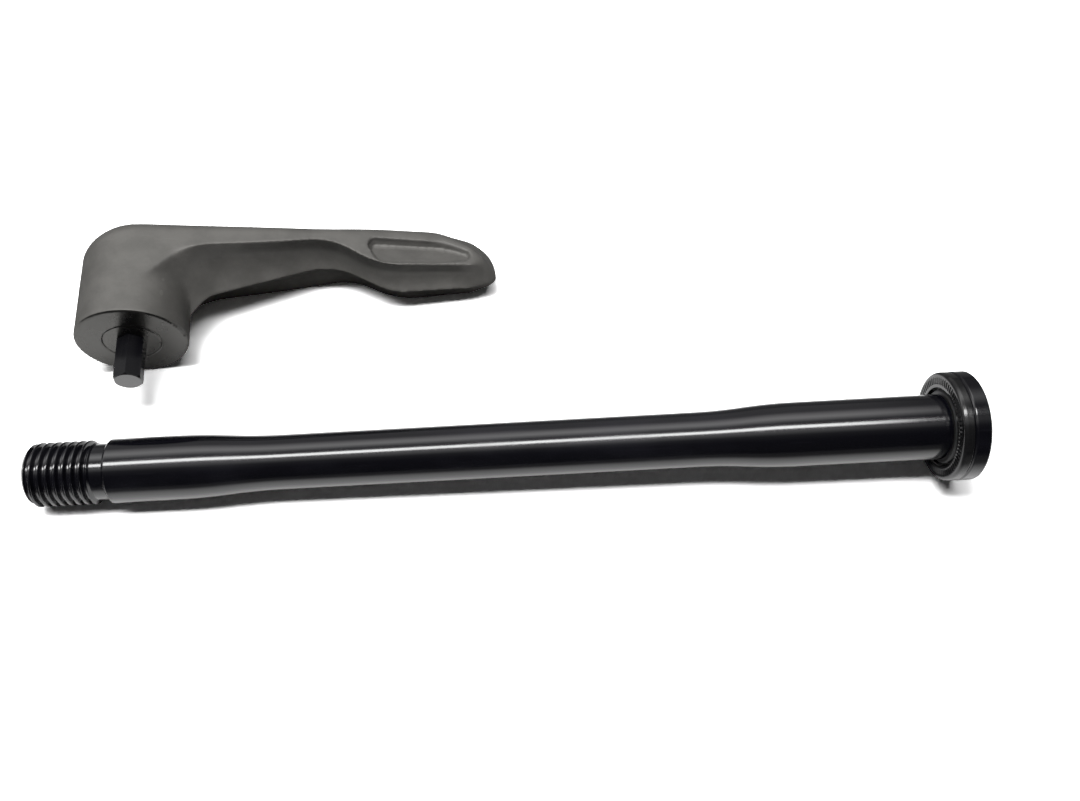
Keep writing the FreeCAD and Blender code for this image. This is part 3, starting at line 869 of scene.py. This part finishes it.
# metres and watts; a fade is where it begins and ends
studio = {
    "lampHeight": 0.60,
    "stripSize": (0.72, 0.10),
    "stripCentre": (-0.14, 0.0),
    "stripPower": 3.8,
    "fillSize": (0.26, 0.26),
    "fillCentre": (-0.20, 0.10),
    "fillPower": 3.2,
    "ambient": 0.025,
    "white": (1.0, 1.0, 1.0, 1.0),
    "floorSize": 12.0,
    "floorColour": (0.36, 0.36, 0.36, 1.0),     # as the light that it throws back
    "floorWhite": (1.6, 1.6, 1.6, 1.0),         # as seen
    "mirrorWhite": (0.98, 0.98, 0.98, 1.0),     # as reflected by the axle's lower side and the hub's face
    "reflectedShade": (0.10, 0.10, 0.10, 1.0),      # as reflected from further off: a painted shade, darker than the floor, seen only in gloss
    "nearFade": (-0.045, -0.014),               # from the painted shade in front of the axle to its white
    "farFade": (0.016, 0.032),                  # and to the painted shade again behind it
    "whiteFade": (0.24, 0.42),                  # from the object's middle, to plain white floor
    "sideFade": (0.33, 0.43),                   # of a direction's sideways part, to the room's dark end
    "sideShare": 0.25,                          # of the room's light that is left there
}

# what gloss reflects of the room, by the angle from overhead: -90 far horizon, 90 near horizon
roomStops = [
    (-90, 0.3), (-58, 0.4), (-34, 2.5), (-15, 0.15), (6, 0.5), (14, 0.9), (27, 0.12), (45, 0.03), (90, 0.03),
]


def rayKinds(tree):
    # wires that are 1 for rays of a kind: straight from the camera, reflected, and from it also through glass
    camera = tree.node("ShaderNodeLightPath", out="Is Camera Ray")
    return camera, camera.twin("Is Glossy Ray"), camera + camera.twin("Is Transmission Ray")


def studioWorld(k=studio):
    world = bpy.data.worlds.new("studio")
    bpy.context.scene.world = world
    world.use_nodes = True
    world.node_tree.nodes.clear()
    tree = Wire(world.node_tree)

    def background(colour, strength):
        return tree.node("ShaderNodeBackground", None, {"Color": colour, "Strength": strength})

    def mixed(share, first, second):
        return tree.node("ShaderNodeMixShader", None, {0: share, 1: first, 2: second})

    direction = tree.node("ShaderNodeTexCoord", out="Generated")
    away = tree.node("ShaderNodeSeparateXYZ", None, {0: direction}, out="Y")
    angle = tree.math("ARCTAN2", 0.0 - away, away.twin("Z")) / math.pi + 0.5
    top = max(level for place, level in roomStops)
    ramp = tree.node("ShaderNodeValToRGB", {"stops": [
        (0.5 + place / 180, (level / top,) * 3) for place, level in roomStops]}, {"Fac": angle})
    room = mixed(away.twin("X").limited(*k["sideFade"]),
                 background(ramp, top), background(ramp, top * k["sideShare"]))
    glossy, direct = rayKinds(tree)[1:]
    seen = mixed(direct, background(k["white"], k["ambient"]), background(k["white"], 1.0))
    tree.node("ShaderNodeOutputWorld", None, {"Surface": mixed(glossy, seen, room)})


def studioFloor(k=studio):
    # a diffuse floor with one colour for the light that it throws back, one as seen and two as reflected:
    # white near the axle and a painted shade further off; the camera sees plain white far from the object
    corners = np.array([[-1, -1], [1, -1], [1, 1], [-1, 1]]) * k["floorSize"] / 2
    mesh = bpy.data.meshes.new("floor")
    mesh.from_pydata([(x, y, floorLevel) for x, y in corners], [], [(0, 1, 2, 3)])
    floor = addObject("floor", mesh)
    material, tree = newMaterial("floor white")
    camera, glossy, direct = rayKinds(tree)
    coords = tree.node("ShaderNodeTexCoord", out="Object")
    away = tree.node("ShaderNodeSeparateXYZ", None, {0: coords}, out="Y")
    # gloss sees the floor white only in a band round the axle, and the painted shade elsewhere
    mirrored = away.limited(*k["nearFade"]) * (1 - away.limited(*k["farFade"]))
    lit = direct.blend(k["floorColour"], k["floorWhite"])
    colour = glossy.blend(lit, mirrored.blend(k["reflectedShade"], k["mirrorWhite"]))
    paint = tree.node("ShaderNodeBsdfDiffuse", None, {"Color": colour})
    middle = tuple((cadBox[0] + cadBox[1]) / 2)
    apart = tree.node("ShaderNodeVectorMath", {"operation": "DISTANCE"}, {0: coords, 1: middle}, out="Value")
    plain = tree.node("ShaderNodeEmission", None, {"Color": k["white"], "Strength": 1.0})
    far = camera * apart.limited(*k["whiteFade"])
    shown = tree.node("ShaderNodeMixShader", None, {0: far, 1: paint, 2: plain})
    tree.node("ShaderNodeOutputMaterial", None, {"Surface": shown})
    mesh.materials.append(material)


def studioLamp(name, shines, k=studio):
    # an area lamp facing the floor; shines says whether gloss reflects it
    light = bpy.data.lights.new(name, "AREA")
    light.shape = "RECTANGLE"
    light.size, light.size_y = k[name + "Size"]
    light.energy = k[name + "Power"]
    lamp = addObject(name, light)
    lamp.location = (*k[name + "Centre"], k["lampHeight"])
    lamp.visible_glossy = shines


cameraPlace = {
    "position": (-86.67, -80.75, 163.53),
    "pitch": 61.07,
    "yaw": 1.6,
    "roll": 1.04,
    "lens": 33.18,
    "sensor": 36.0,
    "shiftX": 0.0556,
    "clipStart": 0.01,
}


def photoCamera(k=cameraPlace):
    # pitch is down from the horizon, yaw to the right of the y axis and roll clockwise
    pitch, yaw, roll = (math.radians(k[key]) for key in ("pitch", "yaw", "roll"))
    forward = Vector((math.sin(yaw) * math.cos(pitch), math.cos(yaw) * math.cos(pitch), -math.sin(pitch)))
    right = Vector((math.cos(yaw), -math.sin(yaw), 0.0))
    down = forward.cross(right)
    turnedRight = math.cos(roll) * right + math.sin(roll) * down
    turnedDown = math.cos(roll) * down - math.sin(roll) * right
    data = bpy.data.cameras.new("camera")
    data.sensor_fit, data.sensor_width, data.lens = "HORIZONTAL", k["sensor"], k["lens"]
    data.shift_x, data.clip_start = k["shiftX"], k["clipStart"]
    camera = addObject("camera", data)
    turn = Matrix((turnedRight, -turnedDown, -forward)).transposed().to_4x4()
    camera.matrix_world = Matrix.Translation(Vector(k["position"]) * mm) @ turn
    bpy.context.scene.camera = camera


studioWorld()
studioFloor()
studioLamp("strip", shines=True)
studioLamp("fill", shines=False)
photoCamera()
bpy.context.scene.view_settings.view_transform = "Standard"
print("studio: floor, lamps, world and camera")
